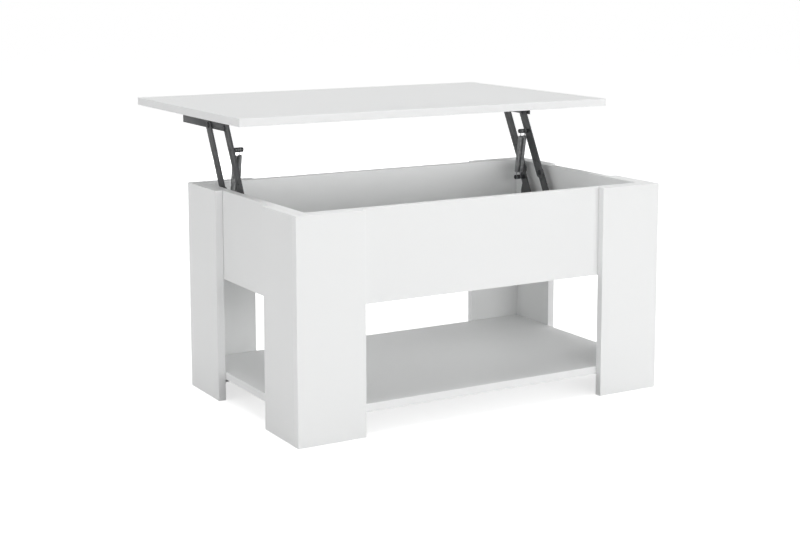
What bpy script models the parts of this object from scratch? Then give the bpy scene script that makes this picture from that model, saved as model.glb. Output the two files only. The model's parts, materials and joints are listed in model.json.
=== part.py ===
"""A lift top coffee table with its top raised on two parallelogram lift fittings.

Metres, +Z up. The table's long side runs along X, its front faces -Y. The origin is on the floor,
at the middle of the raised table's footprint. "Left" is -X. Every piece is one named object.
"""

import math

import bpy
import bmesh
from mathutils import Vector

# Boards
BOARD = 0.015                 # thickness of every board
BODY_WIDTH = 0.770            # over the corner legs, along X
BODY_DEPTH = 0.470            # over the corner legs, along Y
BODY_HEIGHT = 0.400           # floor to rim
LEG_WIDTH = 0.132             # each face of a corner leg
APRON_HEIGHT = 0.1675         # storage box walls, rim to lower edge
SHELF_CLEARANCE = 0.040       # floor to the lower shelf's underside
TOP_OVERHANG = 0.015          # closed top past the legs, on all four sides
SEAM = 0.0003                 # joint line between two pieces that touch
BOARD_EDGE = 0.0005           # softened board edges

# Lift fittings, one at each end
PIVOT_DROP = 0.014            # lower pivots below the rim
FRONT_PIVOT_Y = 0.326         # front arm's lower pivot behind the body's front
PIVOT_SPACING = 0.070         # front pivots to rear pivots
ARM_LENGTH = 0.139            # pivot to pivot
RAISED_ANGLE = math.radians(62)   # raised arms from horizontal, leaning back
RAIL_PIVOT_DROP = 0.0233      # upper pivots below the top's underside
ARM_WIDTH = 0.023
ARM_GAUGE = 0.0025
PLATE_GAUGE = 0.0015          # bracket and rail sheet
WORKING_GAP = 0.0003          # between two sheets that slide over each other
ARM_TO_WALL = 0.0106          # outermost arm to the side wall's inner face

# Bracket on the side wall
EAR_WIDTH = 0.021
BRACKET_TOP_DROP = 0.059      # bracket's straight edge below the rim
BRACKET_HEIGHT = 0.021        # straight part that stands off the wall
FLANGE_HEIGHT = 0.030         # part screwed to the wall
BRACKET_FRONT_REACH = 0.056   # bracket in front of the front pivot
EAR_SHOULDER = 0.015          # height of the plate's slope into the rear ear
STOP_HEIGHT = 0.010           # lug that the raised rear arm leans on
STOP_GAUGE = 0.002
STOP_BRIDGE_TOP = 0.006       # the lug's bridge to the ear, along its far edge
STOP_BRIDGE_FOOT = 0.003      # and along the ear

# Rail under the top
RAIL_EDGE = 0.006             # upper pivot to the rail's lower edge
RAIL_FRONT_REACH = 0.021      # rail in front of the front upper pivot
RAIL_LEAF = 0.020             # leaf screwed under the top
RAIL_SCREW_REACH = 0.012      # upright flange to the screws

# Pivots, studs and springs
PIVOT_RADIUS = 0.0035
SHOULDER_RADIUS = 0.0047      # where a pivot crosses the gap between two sheets
PIVOT_PLAY = 0.00012          # pin to hole, all round
HEAD_RADIUS = 0.0058
HEAD_HEIGHT = 0.0015
HEAD_CROWN_RADIUS = 0.0041    # flat top of a rivet head
HEAD_RIM_HEIGHT = 0.0009      # a rivet head's straight rim
STUD_RADIUS = 0.0045
STUD_LENGTH = 0.0215          # past the sheet that carries it
STUD_TENON_RADIUS = 0.0035    # where it passes through its sheet
GROOVE_DEPTH = 0.0012         # hook grooves round a stud
STUD_CHAMFER = 0.0009
UPPER_STUD_REACH = 0.094      # upper stud above the front arm's lower pivot
LOWER_STUD_DROP = 0.018       # lower stud below the rear pivot, down the ear
SPRING_RADIUS = 0.00475
SPRING_PITCH = 0.0098         # between the two springs' axes
SPRING_END = 0.0115           # stud axis to the spring's end coil
SPRING_WALL = 0.0016          # coil's thickness
SPRING_FLOOR = 0.003          # closed lower end of the coil
END_COIL = 0.005              # last turns, which move with the spring's upper end
HOOK_WIRE = 0.0008            # hook wire radius
HOOK_BITE = 0.001             # hook stem inside the spring's end coil
HOOK_SOCKET = 0.0025          # depth of the end coil's hole for that stem
HOOK_OPENING = math.radians(50)

# Screws
SCREW_HEAD_RADIUS = 0.0036
SCREW_HEAD_HEIGHT = 0.0018
SCREW_CROWN_RADIUS = 0.0020   # flat top of a screw head
SCREW_BULGE_RADIUS = 0.0033   # its rounded shoulder, at half height
SCREW_RADIUS = 0.0017
SCREW_LENGTH = 0.0125
SCREWS_PER_PLATE = 3
SCREW_END_MARGIN = 0.012      # outermost screws to a plate's ends

ROUND_SIDES = 16
HOOK_SIDES = 6                # facets round a hook's wire
CUT_PAST = 0.002              # a cutter's reach past each face of its sheet

# Derived places, measured from the body's left front corner on the floor
RIM_Z = BODY_HEIGHT
LEAN = Vector((0, math.cos(RAISED_ANGLE), math.sin(RAISED_ANGLE)))
LOWER_PIVOT_Z = RIM_Z - PIVOT_DROP
CLOSED_UPPER_PIVOT_Z = RIM_Z + SEAM - RAIL_PIVOT_DROP
CLOSED_ANGLE = math.pi - math.asin((CLOSED_UPPER_PIVOT_Z - LOWER_PIVOT_Z) / ARM_LENGTH)
LIFT = ARM_LENGTH * (math.sin(RAISED_ANGLE) - math.sin(CLOSED_ANGLE))
TRAVEL = ARM_LENGTH * (math.cos(RAISED_ANGLE) - math.cos(CLOSED_ANGLE))
TOP_WIDTH = BODY_WIDTH + 2 * TOP_OVERHANG
TOP_DEPTH = BODY_DEPTH + 2 * TOP_OVERHANG
TOP_FRONT_Y = TRAVEL - TOP_OVERHANG
TOP_UNDERSIDE_Z = RIM_Z + SEAM + LIFT
TOTAL_DEPTH = TOP_FRONT_Y + TOP_DEPTH
BODY_CORNER = Vector((-BODY_WIDTH / 2, -TOTAL_DEPTH / 2, 0))

APRON_INSET = BOARD + SEAM            # storage box behind the leg boards
WALL_FACE = APRON_INSET + BOARD       # its inner faces, from the body's outer planes
APRON_FOOT_Z = RIM_Z - APRON_HEIGHT

# Sheets of a lift fitting, outermost first, as (outer, inner) distances from the body's end plane
REAR_ARM_SHEET = (WALL_FACE + ARM_TO_WALL, WALL_FACE + ARM_TO_WALL + ARM_GAUGE)
RAIL_SHEET = (REAR_ARM_SHEET[1] + WORKING_GAP, REAR_ARM_SHEET[1] + WORKING_GAP + PLATE_GAUGE)
EAR_SHEET = (RAIL_SHEET[1] + WORKING_GAP, RAIL_SHEET[1] + WORKING_GAP + PLATE_GAUGE)
FRONT_ARM_SHEET = (EAR_SHEET[1] + WORKING_GAP, EAR_SHEET[1] + WORKING_GAP + ARM_GAUGE)

FRONT_PIVOT = Vector((0, FRONT_PIVOT_Y, LOWER_PIVOT_Z))
REAR_PIVOT = FRONT_PIVOT + Vector((0, PIVOT_SPACING, 0))
FRONT_UPPER_PIVOT = FRONT_PIVOT + LEAN * ARM_LENGTH
REAR_UPPER_PIVOT = REAR_PIVOT + LEAN * ARM_LENGTH
UPPER_STUD = FRONT_PIVOT + LEAN * UPPER_STUD_REACH
LOWER_STUD = REAR_PIVOT - LEAN * LOWER_STUD_DROP


def clear_scene():
    for item in list(bpy.data.objects):
        bpy.data.objects.remove(item, do_unlink=True)


def make_material(name, colour, roughness, metallic=0.0):
    material = bpy.data.materials.new(name)
    material.use_nodes = True
    shader = material.node_tree.nodes["Principled BSDF"]
    shader.inputs["Base Color"].default_value = (*colour, 1)
    shader.inputs["Roughness"].default_value = roughness
    shader.inputs["Metallic"].default_value = metallic
    return material


def add_object(name, mesh, material, parent, location=(0, 0, 0), lean=0.0):
    """An object whose location is measured from its parent, turned by lean about X."""
    item = bpy.data.objects.new(name, mesh)
    bpy.context.scene.collection.objects.link(item)
    item.parent = parent
    item.location = location
    item.rotation_euler = (lean, 0, 0)
    if material:
        mesh.materials.append(material)
    return item


def add_empty(name, parent=None, location=(0, 0, 0)):
    item = bpy.data.objects.new(name, None)
    bpy.context.scene.collection.objects.link(item)
    item.parent = parent
    item.location = location
    return item


def finish_mesh(name, bm, round_edges=False):
    bmesh.ops.recalc_face_normals(bm, faces=bm.faces)
    mesh = bpy.data.meshes.new(name)
    bm.to_mesh(mesh)
    bm.free()
    if round_edges:
        mesh.shade_smooth()
        mesh.set_sharp_from_angle(angle=math.radians(35))
    return mesh


def box_mesh(name, size):
    """A box with one corner at the origin."""
    bm = bmesh.new()
    bmesh.ops.create_cube(bm, size=1)
    bmesh.ops.translate(bm, verts=bm.verts, vec=(0.5, 0.5, 0.5))
    bmesh.ops.scale(bm, verts=bm.verts, vec=size)
    return finish_mesh(name, bm)


def sheet_mesh(name, outline, x_from, x_to):
    """A sheet whose outline lies in the YZ plane, between two X values."""
    bm = bmesh.new()
    low, high = min(x_from, x_to), max(x_from, x_to)
    ring = [bm.verts.new((low, y, z)) for y, z in outline]
    face = bm.faces.new(ring)
    moved = bmesh.ops.extrude_face_region(bm, geom=[face])["geom"]
    top = [part for part in moved if isinstance(part, bmesh.types.BMVert)]
    bmesh.ops.translate(bm, verts=top, vec=(high - low, 0, 0))
    return finish_mesh(name, bm, round_edges=True)


def turned_mesh(name, profile):
    """A solid turned about X from (x, radius) points, which start and end on the axis."""
    bm = bmesh.new()
    verts = [bm.verts.new((x, 0, radius)) for x, radius in profile]
    for first, second in zip(verts, verts[1:]):
        bm.edges.new((first, second))
    bmesh.ops.spin(bm, geom=bm.verts[:] + bm.edges[:], axis=(1, 0, 0), cent=(0, 0, 0),
                   angle=2 * math.pi, steps=ROUND_SIDES, use_merge=True)
    bmesh.ops.remove_doubles(bm, verts=bm.verts, dist=1e-6)
    return finish_mesh(name, bm, round_edges=True)


def arc(centre, radius, start, end, steps):
    """Points on a circle in the YZ plane, between two angles from +Y."""
    return [(centre[0] + radius * math.cos(start + (end - start) * i / steps),
             centre[1] + radius * math.sin(start + (end - start) * i / steps))
            for i in range(steps + 1)]


def combine(item, other, operation):
    """Cuts the other object from this one, or joins it on. The other becomes a hidden helper."""
    modifier = item.modifiers.new(other.name, "BOOLEAN")
    modifier.operation = operation
    modifier.solver = "EXACT"
    modifier.object = other
    other.hide_render = True
    other.display_type = "WIRE"


def bore(item, name, sheet, side, centre, radius, parent):
    """A round hole through a sheet, centred on a (y, z) point of the parent."""
    low, high = sheet[0] - CUT_PAST, sheet[1] + CUT_PAST
    profile = [(side * low, 0), (side * low, radius), (side * high, radius), (side * high, 0)]
    mesh = turned_mesh(name, profile)
    combine(item, add_object(name, mesh, None, parent, (0, *centre)), "DIFFERENCE")


def add_board(name, corner, size, material, parent):
    board = add_object(name, box_mesh(name, size), material, parent, corner)
    softened = board.modifiers.new("softened edges", "BEVEL")
    softened.width = BOARD_EDGE
    softened.segments = 2
    return board


def add_leg(name, at_right, at_rear, material, parent):
    """Two boards in an L. The face board covers the side board's edge."""
    face_x = BODY_WIDTH - LEG_WIDTH if at_right else 0
    face_y = BODY_DEPTH - BOARD if at_rear else 0
    face_size = (LEG_WIDTH, BOARD, BODY_HEIGHT)
    add_board(name + "_leg_face_board", (face_x, face_y, 0), face_size, material, parent)
    side_size = (BOARD, LEG_WIDTH - BOARD - SEAM, BODY_HEIGHT)
    side_x = BODY_WIDTH - BOARD if at_right else 0
    side_y = BODY_DEPTH - LEG_WIDTH if at_rear else BOARD + SEAM
    add_board(name + "_leg_side_board", (side_x, side_y, 0), side_size, material, parent)


def add_body(material, parent):
    for name, at_right, at_rear in (("front_left", False, False), ("front_right", True, False),
                                    ("rear_left", False, True), ("rear_right", True, True)):
        add_leg(name, at_right, at_rear, material, parent)
    box_width = BODY_WIDTH - 2 * APRON_INSET
    box_depth = BODY_DEPTH - 2 * APRON_INSET
    rear_y = BODY_DEPTH - APRON_INSET - BOARD
    right_x = BODY_WIDTH - APRON_INSET - BOARD
    long_wall = (box_width, BOARD, APRON_HEIGHT)
    add_board("front_apron", (APRON_INSET, APRON_INSET, APRON_FOOT_Z), long_wall, material, parent)
    add_board("rear_apron", (APRON_INSET, rear_y, APRON_FOOT_Z), long_wall, material, parent)
    end_y = WALL_FACE + SEAM
    end_wall = (BOARD, BODY_DEPTH - 2 * end_y, APRON_HEIGHT)
    add_board("left_apron", (APRON_INSET, end_y, APRON_FOOT_Z), end_wall, material, parent)
    add_board("right_apron", (right_x, end_y, APRON_FOOT_Z), end_wall, material, parent)
    floor_size = (BODY_WIDTH - 2 * end_y, BODY_DEPTH - 2 * end_y, BOARD)
    add_board("storage_floor", (end_y, end_y, APRON_FOOT_Z), floor_size, material, parent)
    shelf_size = (box_width, box_depth, BOARD)
    add_board("lower_shelf", (APRON_INSET, APRON_INSET, SHELF_CLEARANCE), shelf_size, material, parent)


def add_tabletop(material, parent):
    pivot = add_empty("tabletop_pivot", parent, REAR_UPPER_PIVOT)
    corner = Vector((-TOP_OVERHANG, TOP_FRONT_Y, TOP_UNDERSIDE_Z)) - pivot.location
    add_board("tabletop", corner, (TOP_WIDTH, TOP_DEPTH, BOARD), material, pivot)


def arm_outline(length):
    """A flat bar along Y with full round ends about its two pivots."""
    radius = ARM_WIDTH / 2
    ends = ROUND_SIDES // 2
    return (arc((0, 0), radius, math.pi / 2, 1.5 * math.pi, ends)
            + arc((length, 0), radius, -math.pi / 2, math.pi / 2, ends))


def add_arm(name, sheet, side, pivot, holes, material, parent):
    mesh = sheet_mesh(name, arm_outline(ARM_LENGTH), side * sheet[0], side * sheet[1])
    arm = add_object(name, mesh, material, parent, pivot, RAISED_ANGLE)
    for index, (reach, radius) in enumerate(holes):
        along = (pivot[1] + reach * LEAN.y, pivot[2] + reach * LEAN.z)
        bore(arm, f"{name}_hole_{index}", sheet, side, along, radius, parent)


def screw_places(first, last):
    """Evenly spaced Y values between two plate ends."""
    low, high = first + SCREW_END_MARGIN, last - SCREW_END_MARGIN
    return [low + (high - low) * i / (SCREWS_PER_PLATE - 1) for i in range(SCREWS_PER_PLATE)]


def screw_profile():
    """A pan head with its shank, along X: the head is on the -X side of the plate face at 0."""
    return [(-SCREW_HEAD_HEIGHT, 0), (-SCREW_HEAD_HEIGHT, SCREW_CROWN_RADIUS),
            (-SCREW_HEAD_HEIGHT / 2, SCREW_BULGE_RADIUS), (-SEAM, SCREW_HEAD_RADIUS),
            (-SEAM, SCREW_RADIUS), (SCREW_LENGTH - SCREW_RADIUS * 2, SCREW_RADIUS), (SCREW_LENGTH, 0)]


def add_screw(name, place, direction, material, parent):
    """A wood screw whose shank runs along direction from a point on its plate's face."""
    screw = add_object(name, turned_mesh(name, screw_profile()), material, parent, place)
    screw.rotation_euler = Vector((1, 0, 0)).rotation_difference(direction).to_euler()


def screw_hole(board, name, place, direction, parent):
    """The pilot hole that a screw's shank fills in a board or a plate."""
    depth = SCREW_LENGTH + SEAM
    radius = SCREW_RADIUS + PIVOT_PLAY
    profile = [(-PLATE_GAUGE, 0), (-PLATE_GAUGE, radius), (depth, radius), (depth, 0)]
    cutter = add_object(name, turned_mesh(name, profile), None, parent, place)
    cutter.rotation_euler = Vector((1, 0, 0)).rotation_difference(direction).to_euler()
    combine(board, cutter, "DIFFERENCE")


def bracket_outline():
    """The upright part of the bracket: a straight plate with two leaning ears."""
    top_z = RIM_Z - BRACKET_TOP_DROP
    foot_z = top_z - BRACKET_HEIGHT
    half = EAR_WIDTH / 2
    across = half / math.sin(RAISED_ANGLE)
    outline = [(FRONT_PIVOT.y - BRACKET_FRONT_REACH, foot_z), (REAR_PIVOT.y, foot_z)]
    ear_foot_z = top_z + EAR_SHOULDER
    for pivot in (REAR_PIVOT, FRONT_PIVOT):
        rear_foot = pivot.y + across - (pivot.z - top_z) / math.tan(RAISED_ANGLE)
        front_foot = rear_foot - 2 * across
        if pivot is REAR_PIVOT:
            outline.append((REAR_PIVOT.y, top_z))
            outline.append((rear_foot + (ear_foot_z - top_z) / math.tan(RAISED_ANGLE), ear_foot_z))
        else:
            outline.append((rear_foot, top_z))
        outline += arc((pivot.y, pivot.z), half, RAISED_ANGLE - math.pi / 2,
                       RAISED_ANGLE + math.pi / 2, ROUND_SIDES // 2)
        outline.append((front_foot, top_z))
    outline.append((FRONT_PIVOT.y - BRACKET_FRONT_REACH, top_z))
    return outline


def add_bracket(name, side, material, parent):
    """Ears off the wall, a web back to it, a flange screwed to it and a stop lug for the rear arm."""
    bracket = add_object(name, sheet_mesh(name, bracket_outline(), side * EAR_SHEET[0], side * EAR_SHEET[1]),
                         material, parent)
    foot_z = RIM_Z - BRACKET_TOP_DROP - BRACKET_HEIGHT
    front_y = FRONT_PIVOT.y - BRACKET_FRONT_REACH
    wall_x = WALL_FACE + SEAM
    lip = PLATE_GAUGE / 2
    web = [(front_y, foot_z - PLATE_GAUGE), (REAR_PIVOT.y, foot_z - PLATE_GAUGE),
           (REAR_PIVOT.y, foot_z + lip), (front_y, foot_z + lip)]
    flange = [(front_y, foot_z - FLANGE_HEIGHT), (REAR_PIVOT.y, foot_z - FLANGE_HEIGHT),
              (REAR_PIVOT.y, foot_z), (front_y, foot_z)]
    parts = (("web", web, wall_x, EAR_SHEET[1]), ("flange", flange, wall_x, wall_x + PLATE_GAUGE))
    for label, outline, x_from, x_to in parts:
        helper = add_object(f"{name}_{label}", sheet_mesh(label, outline, side * x_from, side * x_to),
                            None, parent)
        combine(bracket, helper, "UNION")
    stop_from = ARM_WIDTH / 2 + WORKING_GAP
    reach = PIVOT_RADIUS
    tab = [(reach, -stop_from), (reach, -stop_from - STOP_GAUGE),
           (reach + STOP_HEIGHT, -stop_from - STOP_GAUGE), (reach + STOP_HEIGHT, -stop_from)]
    bridge = [(reach, -EAR_WIDTH / 4), (reach, -stop_from - STOP_GAUGE),
              (reach + STOP_BRIDGE_TOP, -stop_from - STOP_GAUGE), (reach + STOP_BRIDGE_FOOT, -EAR_WIDTH / 4)]
    for label, outline, x_from in (("stop", tab, REAR_ARM_SHEET[0]), ("bridge", bridge, EAR_SHEET[0])):
        helper = add_object(f"{name}_{label}", sheet_mesh(label, outline, side * x_from, side * EAR_SHEET[1]),
                            None, parent, REAR_PIVOT, RAISED_ANGLE)
        combine(bracket, helper, "UNION")
    pin, tenon = PIVOT_RADIUS + PIVOT_PLAY, STUD_TENON_RADIUS + PIVOT_PLAY
    holes = (("front", FRONT_PIVOT, pin), ("rear", REAR_PIVOT, pin), ("stud", LOWER_STUD, tenon))
    for label, place, radius in holes:
        bore(bracket, f"{name}_{label}_hole", EAR_SHEET, side, (place.y, place.z), radius, parent)
    return bracket


def rail_ends():
    """The rail's Y values. When the top is closed its rear end stops short of the rear pivot."""
    rear_gap = SHOULDER_RADIUS + 3 * WORKING_GAP
    return FRONT_UPPER_PIVOT.y - RAIL_FRONT_REACH, REAR_PIVOT.y - rear_gap + TRAVEL


def add_rail(name, side, material, parent):
    """A steel angle under the top: an upright flange for the pivots and a leaf for the screws."""
    front_y, rear_y = rail_ends()
    top_z = TOP_UNDERSIDE_Z - SEAM
    foot_z = REAR_UPPER_PIVOT.z - RAIL_EDGE
    outer, inner = RAIL_SHEET
    bm = bmesh.new()
    section = [(outer, foot_z), (inner, foot_z), (inner, top_z - PLATE_GAUGE),
               (outer + RAIL_LEAF, top_z - PLATE_GAUGE), (outer + RAIL_LEAF, top_z), (outer, top_z)]
    face = bm.faces.new([bm.verts.new((side * x, front_y, z)) for x, z in section])
    moved = bmesh.ops.extrude_face_region(bm, geom=[face])["geom"]
    far_end = [part for part in moved if isinstance(part, bmesh.types.BMVert)]
    bmesh.ops.translate(bm, verts=far_end, vec=(0, rear_y - front_y, 0))
    pivot = add_empty(name + "_pivot", parent, REAR_UPPER_PIVOT)
    mesh = finish_mesh(name, bm)
    rail = add_object(name, mesh, material, pivot, -REAR_UPPER_PIVOT)
    radius = PIVOT_RADIUS + PIVOT_PLAY
    for label, place in (("front", FRONT_UPPER_PIVOT), ("rear", REAR_UPPER_PIVOT)):
        bore(rail, f"{name}_{label}_hole", RAIL_SHEET, side, (place.y, place.z), radius, parent)
    return rail


def add_pivot(name, side, place, outer, inner, shoulder, outer_head, material, parent):
    """A rivet from one sheet's outer face to another's inner face.

    The shoulder is the wider stretch that keeps two sheets apart where they aren't neighbours.
    A rivet without an outer head is hammered flush.
    """
    low, high = outer - WORKING_GAP, inner + WORKING_GAP
    profile = [(outer, 0), (outer, PIVOT_RADIUS)]
    if outer_head:
        profile = [(low - HEAD_HEIGHT, 0), (low - HEAD_HEIGHT, HEAD_CROWN_RADIUS),
                   (low - HEAD_RIM_HEIGHT, HEAD_RADIUS), (low, HEAD_RADIUS), (low, PIVOT_RADIUS)]
    if shoulder:
        start, end = shoulder[0] + WORKING_GAP, shoulder[1] - WORKING_GAP
        profile += [(start, PIVOT_RADIUS), (start, SHOULDER_RADIUS),
                    (end, SHOULDER_RADIUS), (end, PIVOT_RADIUS)]
    if inner > FRONT_ARM_SHEET[0] or shoulder:
        profile += [(high, PIVOT_RADIUS), (high, HEAD_RADIUS), (high + HEAD_RIM_HEIGHT, HEAD_RADIUS),
                    (high + HEAD_HEIGHT, HEAD_CROWN_RADIUS), (high + HEAD_HEIGHT, 0)]
    else:
        profile += [(inner, PIVOT_RADIUS), (inner, 0)]
    mesh = turned_mesh(name, [(side * x, radius) for x, radius in profile])
    add_object(name, mesh, material, parent, place)


def add_stud(name, side, place, sheet, material, parent):
    """A spring stud: a tenon through its sheet, then a post with a groove for each hook."""
    start = sheet[1] + SEAM
    end = start + STUD_LENGTH
    profile = [(sheet[0] + SEAM, 0), (sheet[0] + SEAM, STUD_TENON_RADIUS), (start, STUD_TENON_RADIUS),
               (start, STUD_RADIUS)]
    for axis in spring_axes():
        half = HOOK_WIRE + SEAM
        profile += [(axis - half, STUD_RADIUS), (axis - half / 2, STUD_RADIUS - GROOVE_DEPTH),
                    (axis + half / 2, STUD_RADIUS - GROOVE_DEPTH), (axis + half, STUD_RADIUS)]
    profile += [(end - STUD_CHAMFER, STUD_RADIUS), (end, STUD_RADIUS - STUD_CHAMFER), (end, 0)]
    mesh = turned_mesh(name, [(side * x, radius) for x, radius in profile])
    add_object(name, mesh, material, parent, place)


def spring_axes():
    """X of the two springs, side by side on the inner side of the front arm."""
    first = FRONT_ARM_SHEET[1] + SEAM + HEAD_HEIGHT + SPRING_RADIUS
    return first, first + SPRING_PITCH


def hook_mesh(name, x, toward_spring):
    """A wire hook: an open ring round the stud at the origin, and a stem to the spring's end coil."""
    steps = ROUND_SIDES
    ring_radius = STUD_RADIUS - GROOVE_DEPTH + SEAM + HOOK_WIRE
    start = math.pi / 2 * toward_spring
    path = [(ring_radius * math.cos(start + a), ring_radius * math.sin(start + a))
            for a in [2 * math.pi * i / steps for i in range(steps + 1)]
            if a <= 2 * math.pi - HOOK_OPENING]
    path.insert(0, (0, toward_spring * (SPRING_END + HOOK_BITE)))
    bm = bmesh.new()
    rings = []
    for index, (y, z) in enumerate(path):
        before = Vector(path[max(index - 1, 0)])
        after = Vector(path[min(index + 1, len(path) - 1)])
        tangent = (after - before).normalized()
        outward = Vector((0, -tangent.y, tangent.x))
        rings.append([bm.verts.new(Vector((x, y, z)) + outward * (HOOK_WIRE * math.cos(turn))
                                   + Vector((HOOK_WIRE * math.sin(turn), 0, 0)))
                      for turn in [2 * math.pi * i / HOOK_SIDES for i in range(HOOK_SIDES)]])
    for first, second in zip(rings, rings[1:]):
        for i in range(HOOK_SIDES):
            bm.faces.new((first[i], first[(i + 1) % HOOK_SIDES], second[(i + 1) % HOOK_SIDES], second[i]))
    bm.faces.new(rings[0])
    bm.faces.new(rings[-1])
    return finish_mesh(name, bm, round_edges=True)


def add_turned_upright(name, profile, x, material, parent):
    """A turned solid that stands along the parent's Z at one X. Its profile is (z, radius) points."""
    item = add_object(name, turned_mesh(name, profile), material, parent, (x, 0, 0))
    item.rotation_euler = (0, -math.pi / 2, 0)
    return item


def add_springs(prefix, side, material, parent):
    """Two extension springs from the bracket's stud to the front arm's stud.

    The coil swings about the lower stud. Its end coil moves along it as the spring stretches, with a
    core that fills the gap. The upper hook turns about the upper stud.
    """
    line = UPPER_STUD - LOWER_STUD
    length = line.length
    tilt = math.atan2(line.z, line.y) - math.pi / 2
    swivel = add_empty(prefix + "_spring_swivel", parent, LOWER_STUD)
    swivel.rotation_euler = (tilt, 0, 0)
    end_coil = add_empty(prefix + "_spring_end_coil", swivel)
    hook_pivot = add_empty(prefix + "_spring_hook_pivot", swivel, (0, 0, length))
    foot, top = SPRING_END, length - SPRING_END
    coil_top = top - END_COIL - SEAM
    bore_radius = SPRING_RADIUS - SPRING_WALL
    socket_radius = HOOK_WIRE + SEAM
    for label, axis in zip(("outer", "inner"), spring_axes()):
        x = side * axis
        name = f"{prefix}_{label}_spring"
        coil = [(foot, 0), (foot, SPRING_RADIUS), (coil_top, SPRING_RADIUS), (coil_top, bore_radius),
                (foot + SPRING_FLOOR, bore_radius), (foot + SPRING_FLOOR, 0)]
        spring = add_turned_upright(name, coil, x, material, swivel)
        lower_hook = hook_mesh(name + "_lower_hook", x, 1)
        combine(spring, add_object(name + "_lower_hook", lower_hook, None, swivel), "UNION")
        core_radius = bore_radius - SEAM
        core = [(foot + SPRING_FLOOR + SEAM, 0), (foot + SPRING_FLOOR + SEAM, core_radius),
                (top - END_COIL, core_radius), (top - END_COIL, SPRING_RADIUS), (top, SPRING_RADIUS),
                (top, socket_radius), (top - HOOK_SOCKET, socket_radius), (top - HOOK_SOCKET, 0)]
        add_turned_upright(name + "_core", core, x, material, end_coil)
        upper = name + "_upper_hook"
        add_object(upper, hook_mesh(upper, x, -1), material, hook_pivot)


def add_lift_fitting(prefix, side, steel, spring_steel, zinc, boards, parent):
    """One end's fitting. Side is 1 at the left end and -1 at the right end, where X is mirrored."""
    end = add_empty(prefix + "_end", parent, (0 if side > 0 else BODY_WIDTH, 0, 0))
    bracket = add_bracket(prefix + "_bracket", side, steel, end)
    rail = add_rail(prefix + "_rail", side, steel, end)
    pivot_hole = PIVOT_RADIUS + PIVOT_PLAY
    add_arm(prefix + "_rear_arm", REAR_ARM_SHEET, side, REAR_PIVOT,
            [(0, pivot_hole), (ARM_LENGTH, pivot_hole)], steel, end)
    add_arm(prefix + "_front_arm", FRONT_ARM_SHEET, side, FRONT_PIVOT,
            [(0, pivot_hole), (ARM_LENGTH, pivot_hole), (UPPER_STUD_REACH, STUD_TENON_RADIUS + PIVOT_PLAY)],
            steel, end)
    add_pivot(prefix + "_rear_lower_pivot", side, REAR_PIVOT, REAR_ARM_SHEET[0], EAR_SHEET[1],
              (REAR_ARM_SHEET[1], EAR_SHEET[0]), True, zinc, end)
    add_pivot(prefix + "_front_lower_pivot", side, FRONT_PIVOT, EAR_SHEET[0], FRONT_ARM_SHEET[1],
              None, False, zinc, end)
    add_pivot(prefix + "_rear_upper_pivot", side, REAR_UPPER_PIVOT, REAR_ARM_SHEET[0], RAIL_SHEET[1],
              None, True, zinc, end)
    add_pivot(prefix + "_front_upper_pivot", side, FRONT_UPPER_PIVOT, RAIL_SHEET[0], FRONT_ARM_SHEET[1],
              (RAIL_SHEET[1], FRONT_ARM_SHEET[0]), True, zinc, end)
    add_stud(prefix + "_upper_spring_stud", side, UPPER_STUD, FRONT_ARM_SHEET, zinc, end)
    add_stud(prefix + "_lower_spring_stud", side, LOWER_STUD, EAR_SHEET, zinc, end)
    add_springs(prefix, side, spring_steel, end)

    flange_z = RIM_Z - BRACKET_TOP_DROP - BRACKET_HEIGHT - FLANGE_HEIGHT / 2
    plate_x = side * (WALL_FACE + SEAM + PLATE_GAUGE)
    for index, y in enumerate(screw_places(FRONT_PIVOT.y - BRACKET_FRONT_REACH, REAR_PIVOT.y), 1):
        place, direction = Vector((plate_x, y, flange_z)), Vector((-side, 0, 0))
        for board, label in ((bracket, "plate"), (boards[prefix + "_apron"], "board")):
            screw_hole(board, f"{prefix}_bracket_{label}_hole_{index}", place, direction, end)
        add_screw(f"{prefix}_bracket_screw_{index}", place, direction, zinc, end)
    leaf_x = side * (RAIL_SHEET[0] + RAIL_SCREW_REACH)
    for index, y in enumerate(screw_places(*rail_ends()), 1):
        place = Vector((leaf_x, y, TOP_UNDERSIDE_Z - SEAM - PLATE_GAUGE))
        for board, label in ((rail, "plate"), (boards["tabletop"], "board")):
            screw_hole(board, f"{prefix}_rail_{label}_hole_{index}", place, Vector((0, 0, 1)), end)
        add_screw(f"{prefix}_rail_screw_{index}", place, Vector((0, 0, 1)), zinc, end)


def main():
    clear_scene()
    white = make_material("white_laminate", (0.86, 0.87, 0.87), 0.42)
    steel = make_material("black_painted_steel", (0.055, 0.057, 0.060), 0.45, 0.3)
    spring_steel = make_material("oiled_spring_steel", (0.16, 0.17, 0.17), 0.35, 0.8)
    zinc = make_material("dark_zinc_plate", (0.10, 0.10, 0.11), 0.38, 0.7)
    table = add_empty("table_corner", None, BODY_CORNER)
    add_body(white, table)
    add_tabletop(white, table)
    for prefix, side in (("left", 1), ("right", -1)):
        add_lift_fitting(prefix, side, steel, spring_steel, zinc, bpy.data.objects, table)


main()
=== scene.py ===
import json
import math
import bmesh
import bpy
from mathutils import Matrix, Vector


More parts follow.
